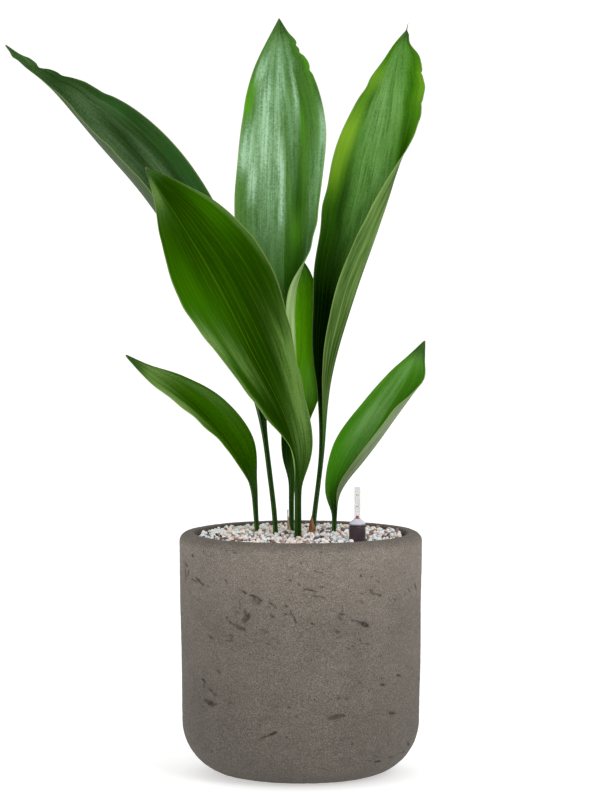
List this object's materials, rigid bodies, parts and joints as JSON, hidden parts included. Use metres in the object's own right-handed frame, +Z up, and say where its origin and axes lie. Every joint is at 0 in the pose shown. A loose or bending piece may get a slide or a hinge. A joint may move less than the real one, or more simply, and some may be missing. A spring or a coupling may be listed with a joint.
{
  "type": "potted cast iron plant",
  "caption": "Potted cast iron plant: broad upright leaves on slender stalks in a round planter of mineral granulate, with a float water gauge.",
  "frame": {"origin": "centre of the planter's flat underside, on the surface it stands on", "axes": "+Z up along the planter's axis, -Y towards the front that the picture shows, +X to its right"},
  "size_m": [0.4411, 0.2748, 0.78],
  "materials": {
    "planter": "matte, fine-grained, pitted",
    "granulate": "rough mineral grains",
    "rhizome": "matte",
    "leaf": "satin, leathery",
    "sheath": "dry, papery",
    "gauge_pipe": "satin",
    "gauge_clear": "clear, polished",
    "gauge_float": "satin"
  },
  "bodies": {
    "potted_plant": {"planter": "planter", "granulate": "granulate", "rhizome": "rhizome", "leaf_tall_left": "leaf", "leaf_tall_middle": "leaf", "leaf_front": "leaf", "leaf_tall_right": "leaf", "leaf_middle_back": "leaf", "leaf_low_left": "leaf", "leaf_low_right": "leaf", "sheath_left": "sheath", "sheath_right": "sheath", "gauge_pipe": "gauge_pipe", "gauge_sight_glass": "gauge_clear"},
    "float": {"gauge_float": "gauge_float"}
  },
  "joints": [
    {"name": "float_rise", "type": "slide", "parent": "potted_plant", "child": "float", "axis": [0, 0, 1], "range_m": [0, 0.02]}
  ]
}
